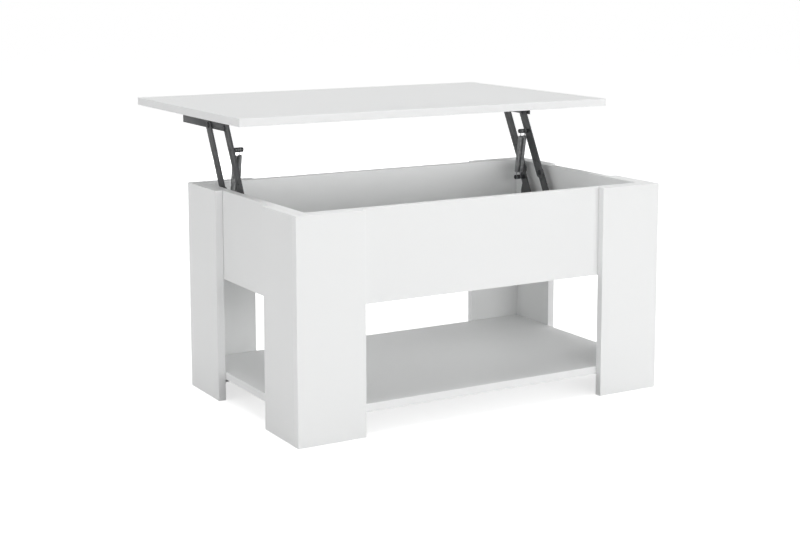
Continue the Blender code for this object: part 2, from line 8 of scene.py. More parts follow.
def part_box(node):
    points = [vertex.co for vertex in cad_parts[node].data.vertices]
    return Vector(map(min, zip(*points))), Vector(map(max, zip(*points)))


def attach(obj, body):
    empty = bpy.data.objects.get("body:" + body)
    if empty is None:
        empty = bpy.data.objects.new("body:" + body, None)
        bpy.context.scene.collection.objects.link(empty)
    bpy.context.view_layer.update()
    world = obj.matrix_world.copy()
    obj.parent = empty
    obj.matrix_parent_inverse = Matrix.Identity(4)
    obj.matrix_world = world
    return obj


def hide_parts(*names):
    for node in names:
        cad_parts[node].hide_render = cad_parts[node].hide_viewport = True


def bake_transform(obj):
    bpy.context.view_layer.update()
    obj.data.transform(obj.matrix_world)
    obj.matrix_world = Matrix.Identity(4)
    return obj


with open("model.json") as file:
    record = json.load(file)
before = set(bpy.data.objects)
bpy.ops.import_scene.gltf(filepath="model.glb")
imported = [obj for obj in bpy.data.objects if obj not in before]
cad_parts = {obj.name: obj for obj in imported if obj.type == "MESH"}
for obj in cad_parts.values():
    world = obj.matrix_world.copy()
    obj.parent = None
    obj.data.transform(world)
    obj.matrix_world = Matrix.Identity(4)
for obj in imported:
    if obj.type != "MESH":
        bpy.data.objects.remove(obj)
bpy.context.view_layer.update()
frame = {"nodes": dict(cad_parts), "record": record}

scene = bpy.context.scene
scene.view_settings.view_transform = "Standard"
bodyHolding = {node: body for body, nodes in frame["record"]["behaviour"]["bodies"].items() for node in nodes}
slotHolding = {row["node"]: row["material_slot"] for row in frame["record"]["subparts"]}
tableSides = (("left", 1), ("right", -1))    # 1 where the inside of the box lies towards +X


# node helpers

def addNode(tree, kind, place=(0, 0), **settings):
    node = tree.nodes.new(kind)
    node.location = place
    for key, value in settings.items():
        setattr(node, key, value)
    return node


def newTree(name, kind, inputs, outputs):
    # inputs are (label, socket type, starting value)
    tree = bpy.data.node_groups.new(name, kind)
    for label, socketType, value in inputs:
        socket = tree.interface.new_socket(label, in_out="INPUT", socket_type=socketType)
        if value is not None:
            socket.default_value = value
    for label, socketType in outputs:
        tree.interface.new_socket(label, in_out="OUTPUT", socket_type=socketType)
    source = addNode(tree, "NodeGroupInput", (-700, 0))
    result = addNode(tree, "NodeGroupOutput", (700, 0))
    return tree, source, result


def link(tree, *pairs):
    for output, target in pairs:
        tree.links.new(output, target)


# camera and lights

camera = {
    "place": (-1.490, -2.613, 0.816),
    "turn": -30.61,        # degrees about the upright axis, 0 looks along +Y
    "lookDown": 8.27,
    "lens": 69.24,
    "shiftX": -0.0236,
    "shiftY": -0.1,
    "clipEnd": 200,
}


def makeCamera(look):
    data = bpy.data.cameras.new("roomCamera")
    data.lens = look["lens"]
    data.shift_x = look["shiftX"]
    data.shift_y = look["shiftY"]
    data.clip_end = look["clipEnd"]
    item = bpy.data.objects.new("roomCamera", data)
    scene.collection.objects.link(item)
    item.location = look["place"]
    item.rotation_euler = (math.radians(90 - look["lookDown"]), 0, math.radians(look["turn"]))
    scene.camera = item


studio = {
    "skyStrength": 0.46,
    "leftShade": 0.35,       # how much darker the room is towards the table's left end
    "overheadShade": 0.10,
    "aim": (0, 0, 0.3),
    "softboxes": {
        # the four at the sides stand low, to reach under the top and the box
        "front": {"from": (0.5, -3.4, 0.78), "size": (3.6, 0.7), "power": 42},
        "left": {"from": (-3.2, -0.4, 0.66), "size": (2.6, 0.7), "power": 18},
        "rear": {"from": (0.2, 3.6, 0.70), "size": (3.6, 0.8), "power": 50, "shine": False},
        "right": {"from": (3.4, 0.2, 0.70), "size": (2.6, 0.8), "power": 44, "shine": False},
        "overhead": {"from": (0.0, 0.3, 3.6), "size": (2.4, 2.4), "power": 58},
    },
}


def makeLights(look):
    world = bpy.data.worlds.new("paleRoom")
    world.use_nodes = True
    tree = world.node_tree
    background = tree.nodes["Background"]
    background.inputs["Color"].default_value = (1, 1, 1, 1)
    place = addNode(tree, "ShaderNodeTexCoord")
    full = addNode(tree, "ShaderNodeValue")
    full.outputs[0].default_value = look["skyStrength"]
    strength = full.outputs[0]
    for shade, towards in ((look["leftShade"], (-1, 0, 0)), (look["overheadShade"], (0, 0, 1))):
        facing = addNode(tree, "ShaderNodeVectorMath", operation="DOT_PRODUCT")
        facing.inputs[1].default_value = towards
        falloff = addNode(tree, "ShaderNodeMapRange")
        falloff.inputs["To Min"].default_value = 1
        falloff.inputs["To Max"].default_value = 1 - shade
        product = addNode(tree, "ShaderNodeMath", operation="MULTIPLY")
        link(tree,
             (place.outputs["Generated"], facing.inputs[0]),
             (facing.outputs["Value"], falloff.inputs["Value"]),
             (falloff.outputs[0], product.inputs[0]),
             (strength, product.inputs[1]))
        strength = product.outputs[0]
    link(tree, (strength, background.inputs["Strength"]))
    scene.world = world
    for name, lamp in look["softboxes"].items():
        data = bpy.data.lights.new(name + "Softbox", "AREA")
        data.shape = "RECTANGLE"
        data.size, data.size_y = lamp["size"]
        data.energy = lamp["power"]
        item = bpy.data.objects.new(name + "Softbox", data)
        scene.collection.objects.link(item)
        item.location = lamp["from"]
        item.visible_camera = False
        item.visible_glossy = lamp.get("shine", True)
        towards = Vector(look["aim"]) - Vector(lamp["from"])
        item.rotation_euler = towards.to_track_quat("-Z", "Y").to_euler()


# shared surface effects

driftNoise = {
    "broadDetail": 3,
    "fineDetail": 2,
}


def makeToneDrift(look):
    # two noises, one broad and one fine, between two close colours
    tree, source, result = newTree(
        "toneDrift", "ShaderNodeTree",
        [("Vector", "NodeSocketVector", None), ("Broad Scale", "NodeSocketFloat", 3.0),
         ("Fine Scale", "NodeSocketFloat", 300.0), ("Dark", "NodeSocketColor", (0.7, 0.7, 0.7, 1)),
         ("Light", "NodeSocketColor", (0.8, 0.8, 0.8, 1))],
        [("Color", "NodeSocketColor"), ("Mask", "NodeSocketFloat")])
    broad = addNode(tree, "ShaderNodeTexNoise", (-450, 150))
    fine = addNode(tree, "ShaderNodeTexNoise", (-450, -150))
    broad.inputs["Detail"].default_value = look["broadDetail"]
    fine.inputs["Detail"].default_value = look["fineDetail"]
    both = addNode(tree, "ShaderNodeMath", (-200, 0), operation="ADD")
    mean = addNode(tree, "ShaderNodeMath", (0, 0), operation="MULTIPLY", use_clamp=True)
    mean.inputs[1].default_value = 0.5
    blendTones = addNode(tree, "ShaderNodeMix", (250, 0), data_type="RGBA")
    link(tree,
         (source.outputs["Vector"], broad.inputs["Vector"]),
         (source.outputs["Vector"], fine.inputs["Vector"]),
         (source.outputs["Broad Scale"], broad.inputs["Scale"]),
         (source.outputs["Fine Scale"], fine.inputs["Scale"]),
         (broad.outputs["Fac"], both.inputs[0]),
         (fine.outputs["Fac"], both.inputs[1]),
         (both.outputs[0], mean.inputs[0]),
         (mean.outputs[0], blendTones.inputs[0]),
         (source.outputs["Dark"], blendTones.inputs[6]),
         (source.outputs["Light"], blendTones.inputs[7]),
         (blendTones.outputs[2], result.inputs["Color"]),
         (mean.outputs[0], result.inputs["Mask"]))
    return tree


pebbleGrain = {
    "waveDetail": 2,
    "waveScale": 0.12,       # against the scale of the cells
}


def makePebble(look):
    # the small round bumps of a pressed foil or a baked powder
    tree, source, result = newTree(
        "pebble", "ShaderNodeTree",
        [("Vector", "NodeSocketVector", None), ("Scale", "NodeSocketFloat", 800.0),
         ("Waviness", "NodeSocketFloat", 0.3)],
        [("Height", "NodeSocketFloat")])
    cells = addNode(tree, "ShaderNodeTexVoronoi", (-450, 150), feature="SMOOTH_F1")
    waves = addNode(tree, "ShaderNodeTexNoise", (-450, -150))
    waves.inputs["Detail"].default_value = look["waveDetail"]
    slower = addNode(tree, "ShaderNodeMath", (-600, -250), operation="MULTIPLY")
    slower.inputs[1].default_value = look["waveScale"]
    mixed = addNode(tree, "ShaderNodeMix", (0, 0), data_type="FLOAT")
    link(tree,
         (source.outputs["Vector"], cells.inputs["Vector"]),
         (source.outputs["Vector"], waves.inputs["Vector"]),
         (source.outputs["Scale"], cells.inputs["Scale"]),
         (source.outputs["Scale"], slower.inputs[0]),
         (slower.outputs[0], waves.inputs["Scale"]),
         (source.outputs["Waviness"], mixed.inputs[0]),
         (cells.outputs["Distance"], mixed.inputs[2]),
         (waves.outputs["Fac"], mixed.inputs[3]),
         (mixed.outputs[0], result.inputs["Height"]))
    return tree


edgeWear = {
    "edge": (0.52, 0.60),    # pointiness where the rub starts and where it is full
    "patches": (0.42, 0.66),
    "patchDetail": 4,
}


def makeEdgeRub(look):
    # a broken mask along outer edges, where hands and neighbours have rubbed
    tree, source, result = newTree(
        "edgeRub", "ShaderNodeTree",
        [("Vector", "NodeSocketVector", None), ("Scale", "NodeSocketFloat", 120.0),
         ("Amount", "NodeSocketFloat", 0.5)],
        [("Mask", "NodeSocketFloat")])
    geometry = addNode(tree, "ShaderNodeNewGeometry", (-450, 150))
    edges = addNode(tree, "ShaderNodeMapRange", (-200, 150))
    edges.inputs["From Min"].default_value, edges.inputs["From Max"].default_value = look["edge"]
    patches = addNode(tree, "ShaderNodeTexNoise", (-450, -150))
    patches.inputs["Detail"].default_value = look["patchDetail"]
    broken = addNode(tree, "ShaderNodeMapRange", (-200, -150))
    broken.inputs["From Min"].default_value, broken.inputs["From Max"].default_value = look["patches"]
    both = addNode(tree, "ShaderNodeMath", (50, 0), operation="MULTIPLY")
    amount = addNode(tree, "ShaderNodeMath", (250, 0), operation="MULTIPLY", use_clamp=True)
    link(tree,
         (source.outputs["Vector"], patches.inputs["Vector"]),
         (source.outputs["Scale"], patches.inputs["Scale"]),
         (geometry.outputs["Pointiness"], edges.inputs["Value"]),
         (patches.outputs["Fac"], broken.inputs["Value"]),
         (edges.outputs[0], both.inputs[0]),
         (broken.outputs[0], both.inputs[1]),
         (both.outputs[0], amount.inputs[0]),
         (source.outputs["Amount"], amount.inputs[1]),
         (amount.outputs[0], result.inputs["Mask"]))
    return tree


toneDrift = makeToneDrift(driftNoise)
pebble = makePebble(pebbleGrain)
edgeRub = makeEdgeRub(edgeWear)


# finishes

def startFinish(name):
    material = bpy.data.materials.new(name)
    material.use_nodes = True
    tree = material.node_tree
    shader = tree.nodes["Principled BSDF"]
    shader.location = (500, 0)
    place = addNode(tree, "ShaderNodeTexCoord", (-900, 0))
    return material, tree, shader, place.outputs["Object"]


def useGroup(tree, group, place, **values):
    node = addNode(tree, "ShaderNodeGroup", place, node_tree=group)
    for key, value in values.items():
        node.inputs[key].default_value = value
    return node


def addBump(tree, shader, height, strength, distance):
    bump = addNode(tree, "ShaderNodeBump", (250, -300))
    bump.inputs["Strength"].default_value = strength
    bump.inputs["Distance"].default_value = distance
    link(tree, (height, bump.inputs["Height"]), (bump.outputs["Normal"], shader.inputs["Normal"]))


def roughnessFrom(tree, shader, mask, smooth, rough):
    spread = addNode(tree, "ShaderNodeMapRange", (100, -120))
    spread.inputs["To Min"].default_value = smooth
    spread.inputs["To Max"].default_value = rough
    link(tree, (mask, spread.inputs["Value"]), (spread.outputs[0], shader.inputs["Roughness"]))


def addTone(tree, shader, place, look):
    broad, fine = look["driftScales"]
    tone = useGroup(tree, toneDrift, (-600, 150), **{"Broad Scale": broad, "Fine Scale": fine,
                                                      "Dark": look["dark"], "Light": look["light"]})
    link(tree, (place, tone.inputs["Vector"]))
    roughnessFrom(tree, shader, tone.outputs["Mask"], *look["roughness"])
    return tone.outputs["Color"]


def addPebble(tree, shader, place, look):
    grain = useGroup(tree, pebble, (-600, -250), Scale=look["pebbleScale"], Waviness=look["waviness"])
    link(tree, (place, grain.inputs["Vector"]))
    addBump(tree, shader, grain.outputs["Height"], look["bumpStrength"], look["bumpDistance"])


whiteBoard = {
    "dark": (0.858, 0.865, 0.863, 1),
    "light": (0.884, 0.890, 0.888, 1),
    "band": (0.895, 0.900, 0.900, 1),      # glued edge strip, a touch brighter
    "driftScales": (2.6, 420.0),
    "roughness": (0.34, 0.46),
    "specular": 0.42,
    "pebbleScale": 950.0,
    "waviness": 0.35,
    "bumpStrength": 0.10,
    "bumpDistance": 0.00012,
}


def makeWhiteMelamine(look):
    material, tree, shader, place = startFinish("whiteMelamine")
    tone = addTone(tree, shader, place, look)
    addPebble(tree, shader, place, look)
    strip = addNode(tree, "ShaderNodeAttribute", (-600, 420), attribute_name="edgeBand")
    banded = addNode(tree, "ShaderNodeMix", (100, 200), data_type="RGBA")
    banded.inputs[7].default_value = look["band"]
    link(tree,
         (strip.outputs["Fac"], banded.inputs[0]),
         (tone, banded.inputs[6]),
         (banded.outputs[2], shader.inputs["Base Color"]))
    shader.inputs["Specular IOR Level"].default_value = look["specular"]
    return material


blackPowder = {
    "dark": (0.060, 0.062, 0.064, 1),
    "light": (0.088, 0.090, 0.093, 1),
    "rubbed": (0.20, 0.205, 0.21, 1),
    "rub": 0.10,
    "rubScale": 150.0,
    "driftScales": (22.0, 900.0),
    "roughness": (0.36, 0.54),
    "metallic": 0.0,
    "pebbleScale": 2400.0,
    "waviness": 0.45,
    "bumpStrength": 0.22,
    "bumpDistance": 0.0001,
}
springWire = {
    "dark": (0.22, 0.225, 0.23, 1),
    "light": (0.38, 0.385, 0.39, 1),
    "rubbed": (0.70, 0.70, 0.70, 1),
    "rub": 0.5,
    "rubScale": 150.0,
    "driftScales": (22.0, 900.0),
    "roughness": (0.24, 0.40),
    "metallic": 0.85,
    "pebbleScale": 5200.0,
    "waviness": 0.45,
    "bumpStrength": 0.10,
    "bumpDistance": 0.00005,
}
blackZinc = {
    "dark": (0.040, 0.041, 0.044, 1),
    "light": (0.075, 0.076, 0.080, 1),
    "rubbed": (0.32, 0.32, 0.31, 1),
    "rub": 0.4,
    "rubScale": 150.0,
    "driftScales": (22.0, 900.0),
    "roughness": (0.26, 0.42),
    "metallic": 0.8,
    "pebbleScale": 3600.0,
    "waviness": 0.45,
    "bumpStrength": 0.12,
    "bumpDistance": 0.00006,
}


def makeSteel(name, look):
    material, tree, shader, place = startFinish(name)
    tone = addTone(tree, shader, place, look)
    addPebble(tree, shader, place, look)
    rubbed = useGroup(tree, edgeRub, (-600, 420), Scale=look["rubScale"], Amount=look["rub"])
    worn = addNode(tree, "ShaderNodeMix", (100, 200), data_type="RGBA")
    worn.inputs[7].default_value = look["rubbed"]
    link(tree,
         (place, rubbed.inputs["Vector"]),
         (rubbed.outputs["Mask"], worn.inputs[0]),
         (tone, worn.inputs[6]),
         (worn.outputs[2], shader.inputs["Base Color"]))
    shader.inputs["Metallic"].default_value = look["metallic"]
    return material


# floor

floorPaint = {
    "dark": (0.80, 0.80, 0.80, 1),
    "light": (0.84, 0.84, 0.84, 1),
    "driftScales": (1.2, 60.0),
    "roughness": (0.6, 0.75),
    "glow": 0.66,       # for the camera only, so that it doesn't light the table from below
    "reach": 45.0,
}


def makeFloor(look):
    material, tree, shader, place = startFinish("palePaintedFloor")
    link(tree, (addTone(tree, shader, place, look), shader.inputs["Base Color"]))
    shader.inputs["Emission Color"].default_value = (1, 1, 1, 1)
    rays = addNode(tree, "ShaderNodeLightPath", (-100, -400))
    glow = addNode(tree, "ShaderNodeMath", (150, -400), operation="MULTIPLY")
    glow.inputs[1].default_value = look["glow"]
    link(tree, (rays.outputs["Is Camera Ray"], glow.inputs[0]),
         (glow.outputs[0], shader.inputs["Emission Strength"]))
    bm = bmesh.new()
    bmesh.ops.create_grid(bm, x_segments=2, y_segments=2, size=look["reach"])
    mesh = bpy.data.meshes.new("floor")
    bm.to_mesh(mesh)
    bm.free()
    mesh.materials.append(material)
    floor = bpy.data.objects.new("floor", mesh)
    scene.collection.objects.link(floor)


makeCamera(camera)
makeLights(studio)
makeFloor(floorPaint)
white = makeWhiteMelamine(whiteBoard)
powder = makeSteel("blackPowderCoat", blackPowder)
wireSteel = makeSteel("oiledSpringWire", springWire)
zinc = makeSteel("blackZincPlate", blackZinc)
print("studio and finishes ready")


# mesh helpers

def toCamel(words):
    first, *rest = words.split("_")
    return first + "".join(word.capitalize() for word in rest)


def finishMesh(name, bm, smoothAngle=None):
    bmesh.ops.remove_doubles(bm, verts=bm.verts, dist=1e-7)
    bmesh.ops.recalc_face_normals(bm, faces=bm.faces)
    mesh = bpy.data.meshes.new(name)
    bm.to_mesh(mesh)
    bm.free()
    if smoothAngle:
        mesh.shade_smooth()
        mesh.set_sharp_from_angle(angle=math.radians(smoothAngle))
    return mesh


def addPiece(name, mesh, material, nodes, blended=False):
    item = bpy.data.objects.new(name, mesh)
    scene.collection.objects.link(item)
    mesh.materials.clear()
    mesh.materials.append(material)
    if not blended:
        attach(item, bodyHolding[nodes[0]])
    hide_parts(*nodes)
    return item


def addRing(bm, centre, radius, across, other, steps):
    ring = []
    for step in range(steps):
        turn = 2 * math.pi * step / steps
        ring.append(bm.verts.new(centre + radius * (math.cos(turn) * across + math.sin(turn) * other)))
    return ring


def turnedMesh(name, profile, start, direction, steps=40):
    # profile is (along, radius) from the start point along the direction, with both ends on the axis
    along = Vector(direction).normalized()
    across = along.orthogonal().normalized()
    other = along.cross(across)
    bm = bmesh.new()
    rings = []
    for distance, radius in profile:
        centre = Vector(start) + along * distance
        if radius < 1e-7:
            rings.append([bm.verts.new(centre)])
            continue
        rings.append(addRing(bm, centre, radius, across, other, steps))
    for first, second in zip(rings, rings[1:]):
        for step in range(steps):
            after = (step + 1) % steps
            corners = [first[step % len(first)], first[after % len(first)],
                       second[after % len(second)], second[step % len(second)]]
            unique = [corner for index, corner in enumerate(corners) if corner not in corners[:index]]
            if len(unique) > 2:
                bm.faces.new(unique)
    return finishMesh(name, bm, smoothAngle=32)


def sweptWire(bm, path, radius, around):
    # a round wire along a list of points, closed at both ends
    rings = []
    normal = None
    for index, point in enumerate(path):
        ahead = (path[min(index + 1, len(path) - 1)] - path[max(index - 1, 0)]).normalized()
        normal = normal or ahead.orthogonal().normalized()
        normal = (normal - ahead * normal.dot(ahead)).normalized()
        rings.append(addRing(bm, point, radius, normal, ahead.cross(normal), around))
    for first, second in zip(rings, rings[1:]):
        for step in range(around):
            after = (step + 1) % around
            bm.faces.new((first[step], first[after], second[after], second[step]))
    bm.faces.new(reversed(rings[0]))
    bm.faces.new(rings[-1])


def centreOf(node):
    low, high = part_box(node)
    return (low + high) / 2


def runTree(tree, name, values, base=None):
    # the mesh that a node tree makes, with its inputs given by name
    holder = bpy.data.objects.new(name + "Holder", base or bpy.data.meshes.new(name + "Base"))
    scene.collection.objects.link(holder)
    modifier = holder.modifiers.new(tree.name, "NODES")
    modifier.node_group = tree
    for socket in tree.interface.items_tree:
        if socket.in_out == "INPUT" and socket.name in values:
            modifier[socket.identifier] = values[socket.name]
    bpy.context.view_layer.update()
    graph = bpy.context.evaluated_depsgraph_get()
    mesh = bpy.data.meshes.new_from_object(holder.evaluated_get(graph))
    mesh.name = name
    holder.modifiers.remove(modifier)
    bpy.data.objects.remove(holder, do_unlink=True)
    return mesh


# boards

boardMaking = {
    "rounding": 0.0007,       # on every outer edge
    "roundingSteps": 3,
    "bandThickness": 0.001,   # edge strip, seen as a fine frame round each broad face
    "broadShare": 0.8,        # of the board's full area, which only its two broad faces pass
    "flatFrom": 0.999,        # a face this square to an axis stays flat shaded
}


def makeBoard(node, look):
    low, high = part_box(node)
    size = high - low
    thin = min(range(3), key=lambda axis: size[axis])
    bm = bmesh.new()
    bmesh.ops.create_cube(bm, size=1)
    bmesh.ops.scale(bm, vec=size, verts=bm.verts)
    bmesh.ops.translate(bm, vec=(low + high) / 2, verts=bm.verts)
    outerEdges = list(bm.edges)
    broad = [face for face in bm.faces if abs(face.normal[thin]) > 0.9]
    bmesh.ops.inset_individual(bm, faces=broad, thickness=look["bandThickness"], use_even_offset=True)
    bmesh.ops.bevel(bm, geom=outerEdges, offset=look["rounding"], segments=look["roundingSteps"],
                    profile=0.5, affect="EDGES")
    mesh = finishMesh(toCamel(node), bm)
    smallest = look["broadShare"] * (size.x * size.y * size.z) / size[thin]
    strip = mesh.attributes.new("edgeBand", "FLOAT", "FACE")
    for face in mesh.polygons:
        strip.data[face.index].value = 0.0 if face.area > smallest else 1.0
        face.use_smooth = max(abs(part) for part in face.normal) < look["flatFrom"]
    addPiece(toCamel(node) + "Panel", mesh, white, [node])


boardNodes = [node for node, slot in slotHolding.items() if slot == "white_laminate"]
for node in boardNodes:
    makeBoard(node, boardMaking)
print("boards made:", len(boardNodes))


# sheet steel: arms, brackets and rails

armMaking = {
    "softening": 0.00035,     # rounded cut edges
    "endSteps": 28,
    "hole": 0.00362,          # for the pivots and the stud
    "spareHole": 0.0015,      # small punched holes, at these reaches from the lower pivot
    "spareHoleReaches": {"front": (0.025,), "rear": (0.054, 0.074)},
}


def circlePoints(centre, radius, start, end, steps):
    points = []
    for step in range(steps + 1):
        turn = start + (end - start) * step / steps
        points.append((centre[0] + radius * math.cos(turn), centre[1] + radius * math.sin(turn)))
    return points


def plateMesh(name, loops, xLow, xHigh, softening):
    # loops are closed outlines in the YZ plane, the first one outside and the rest holes
    curve = bpy.data.curves.new(name, "CURVE")
    curve.dimensions = "2D"
    curve.fill_mode = "BOTH"
    curve.extrude = (xHigh - xLow) / 2 - softening
    curve.bevel_depth = softening
    curve.bevel_resolution = 1
    curve.offset = -softening
    for loop in loops:
        spline = curve.splines.new("POLY")
        spline.points.add(len(loop) - 1)
        spline.use_cyclic_u = True
        for point, (y, z) in zip(spline.points, loop):
            point.co = (y, z, 0, 1)
    holder = bpy.data.objects.new(name + "Outline", curve)
    scene.collection.objects.link(holder)
    bpy.context.view_layer.update()
    graph = bpy.context.evaluated_depsgraph_get()
    mesh = bpy.data.meshes.new_from_object(holder.evaluated_get(graph))
    bpy.data.objects.remove(holder, do_unlink=True)
    mesh.transform(Matrix(((0, 0, 1, (xLow + xHigh) / 2), (1, 0, 0, 0), (0, 1, 0, 0), (0, 0, 0, 1))))
    bm = bmesh.new()
    bm.from_mesh(mesh)
    return finishMesh(name, bm, smoothAngle=35)


def makeArm(side, which, look):
    node = f"{side}_{which}_arm"
    low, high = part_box(node)
    foot, head = centreOf(f"{side}_{which}_lower_pivot"), centreOf(f"{side}_{which}_upper_pivot")
    line = Vector((head.y - foot.y, head.z - foot.z))
    half = ((high.y - low.y) - line.x) / 2
    lean = math.atan2(line.y, line.x)
    quarter = math.pi / 2
    steps = look["endSteps"]
    outline = circlePoints((foot.y, foot.z), half, lean + quarter, lean + 3 * quarter, steps)
    outline += circlePoints((head.y, head.z), half, lean - quarter, lean + quarter, steps)
    holes = [((foot.y, foot.z), look["hole"]), ((head.y, head.z), look["hole"])]
    if which == "front":
        stud = centreOf(f"{side}_upper_spring_stud")
        holes.append(((stud.y, stud.z), look["hole"]))
    for reach in look["spareHoleReaches"][which]:
        share = reach / line.length
        holes.append(((foot.y + line.x * share, foot.z + line.y * share), look["spareHole"]))
    loops = [outline]
    for centre, radius in holes:
        loops.append(circlePoints(centre, radius, 0, 2 * math.pi, steps)[:-1])
    mesh = plateMesh(toCamel(node), loops, low.x, high.x, look["softening"])
    addPiece(toCamel(node) + "Bar", mesh, powder, [node])


foldedPlates = {
    "softening": 0.0003,
    "softeningSteps": 2,
    "sharpFrom": 40,          # degrees, a sharper edge or bend is rounded
}


def makeFoldedPlate(node, name, look):
    bm = bmesh.new()
    bm.from_mesh(frame["nodes"][node].data)
    bmesh.ops.remove_doubles(bm, verts=bm.verts, dist=1e-5)
    bmesh.ops.dissolve_limit(bm, angle_limit=math.radians(1), verts=bm.verts, edges=bm.edges)
    limit = math.radians(look["sharpFrom"])
    sharp = [edge for edge in bm.edges if edge.is_manifold and edge.calc_face_angle() > limit]
    bmesh.ops.bevel(bm, geom=sharp, offset=look["softening"], segments=look["softeningSteps"],
                    profile=0.5, affect="EDGES", clamp_overlap=True)
    addPiece(name, finishMesh(name, bm, smoothAngle=35), powder, [node])


for side, inward in tableSides:
    for which in ("rear", "front"):
        makeArm(side, which, armMaking)
    makeFoldedPlate(f"{side}_bracket", side + "WallBracket", foldedPlates)
    makeFoldedPlate(f"{side}_rail", side + "TopRail", foldedPlates)
print("arms, brackets and rails made")


# pivots and studs

rivetMaking = {
    "headHeight": 0.0018,     # with its working gap
    "gap": 0.0003,
    "headRadius": 0.0058,
    "shaftRadius": 0.0035,
    "shoulderRadius": 0.0047,
    "crownShare": 0.62,       # flat middle of a head, and how far its dome falls
    "domeSteps": 7,
    "rim": 0.00015,
    "endChamfer": 0.0003,     # on a shaft's end without a head
    "dimple": 0.0009,         # punch mark in the middle of a head
    "dimpleDepths": ((0.00035, 0.0), (0.00025, 0.6), (0.0, 1.0)),     # depth at a share of its radius
}
# which ends have heads, and where the shoulder runs, from the outer end
rivets = {
    "rear_lower": {"outer": True, "inner": True, "shoulder": (0.0046, 0.0061)},
    "front_lower": {"outer": False, "inner": True, "shoulder": None},
    "rear_upper": {"outer": True, "inner": False, "shoulder": None},
    "front_upper": {"outer": True, "inner": True, "shoulder": (0.0036, 0.0051)},
}


def headProfile(look):
    # from the middle of a domed head out to its rim and in to the shaft
    steps = look["domeSteps"]
    height = look["headHeight"] - look["gap"]
    radius = look["headRadius"]
    share = look["crownShare"]
    rim = look["rim"]
    crown = radius * share
    points = [(depth, look["dimple"] * reach) for depth, reach in look["dimpleDepths"]]
    points.append((0, crown))
    for step in range(1, steps + 1):
        turn = math.pi / 2 * step / steps
        points.append((height * share * (1 - math.cos(turn)), crown + (radius - crown) * math.sin(turn)))
    points += [(height - rim, radius), (height, radius - rim), (height, look["shaftRadius"])]
    return points


def makeRivet(side, inward, which, kind, look):
    node = f"{side}_{which}_pivot"
    low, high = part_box(node)
    length = high.x - low.x
    shaft, shoulder, chamfer = look["shaftRadius"], look["shoulderRadius"], look["endChamfer"]
    profile = headProfile(look) if kind["outer"] else [(0, 0), (0, shaft - chamfer), (chamfer, shaft)]
    if kind["shoulder"]:
        start, end = kind["shoulder"]
        profile += [(start, shaft), (start, shoulder), (end, shoulder), (end, shaft)]
    if kind["inner"]:
        profile += [(length - along, radius) for along, radius in reversed(headProfile(look))]
    else:
        profile += [(length - chamfer, shaft), (length, shaft - chamfer), (length, 0)]
    centre = centreOf(node)
    outerEnd = Vector((low.x if inward > 0 else high.x, centre.y, centre.z))
    mesh = turnedMesh(toCamel(node), profile, outerEnd, (inward, 0, 0))
    addPiece(toCamel(node) + "Rivet", mesh, zinc, [node])


studMaking = {
    "tenonRadius": 0.0035,
    "collarRadius": 0.0045,
    "collarChamfer": 0.0003,
    "grooveRadius": 0.0033,
    "grooveHalf": 0.0012,
    "grooveSteps": 6,
    "rounding": 0.0009,
    "roundingSteps": 4,
    "collarStart": {"upper": 0.0025, "lower": 0.0015},    # past the sheet that carries it
}


def makeStud(side, inward, which, look):
    node = f"{side}_{which}_spring_stud"
    low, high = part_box(node)
    length = high.x - low.x
    centre = centreOf(node)
    tenon, collar, groove = look["tenonRadius"], look["collarRadius"], look["grooveRadius"]
    start, chamfer = look["collarStart"][which], look["collarChamfer"]
    outerX = low.x if inward > 0 else high.x
    profile = [(0, 0), (0, tenon), (start, tenon), (start, collar - chamfer), (start + chamfer, collar)]
    for spring in ("outer", "inner"):
        middle = abs(centreOf(f"{side}_{spring}_spring_core").x - outerX)
        for step in range(look["grooveSteps"] + 1):
            turn = math.pi * step / look["grooveSteps"]
            profile.append((middle - look["grooveHalf"] * math.cos(turn),
                            collar - (collar - groove) * math.sin(turn)))
    rounding, steps = look["rounding"], look["roundingSteps"]
    for step in range(steps + 1):
        turn = math.pi / 2 * step / steps
        profile.append((length - rounding * (1 - math.sin(turn)), collar - rounding * (1 - math.cos(turn))))
    profile.append((length, 0))
    mesh = turnedMesh(toCamel(node), profile, (outerX, centre.y, centre.z), (inward, 0, 0))
    addPiece(toCamel(node) + "Post", mesh, zinc, [node])


for side, inward in tableSides:
    for which, kind in rivets.items():
        makeRivet(side, inward, which, kind, rivetMaking)
    for which in ("upper", "lower"):
        makeStud(side, inward, which, studMaking)
print("rivets and studs made")


# springs

springMaking = {
    "coilRadius": 0.00405,    # to the middle of the wire
    "wireRadius": 0.00070,
    "endReach": 0.0115,       # stud to the first full turn
    "turnPitch": 0.00141,     # closely wound
    "pointsPerTurn": 20,
    "aroundWire": 8,
    "ringRadius": 0.0041,     # hook's ring, to the middle of the wire
    "ringOpening": 52,        # degrees
    "ringSteps": 30,
    "neck": 0.0030,           # from the last turn in to the hook's stem
    "neckSteps": 8,
    "aroundHook": 10,
}


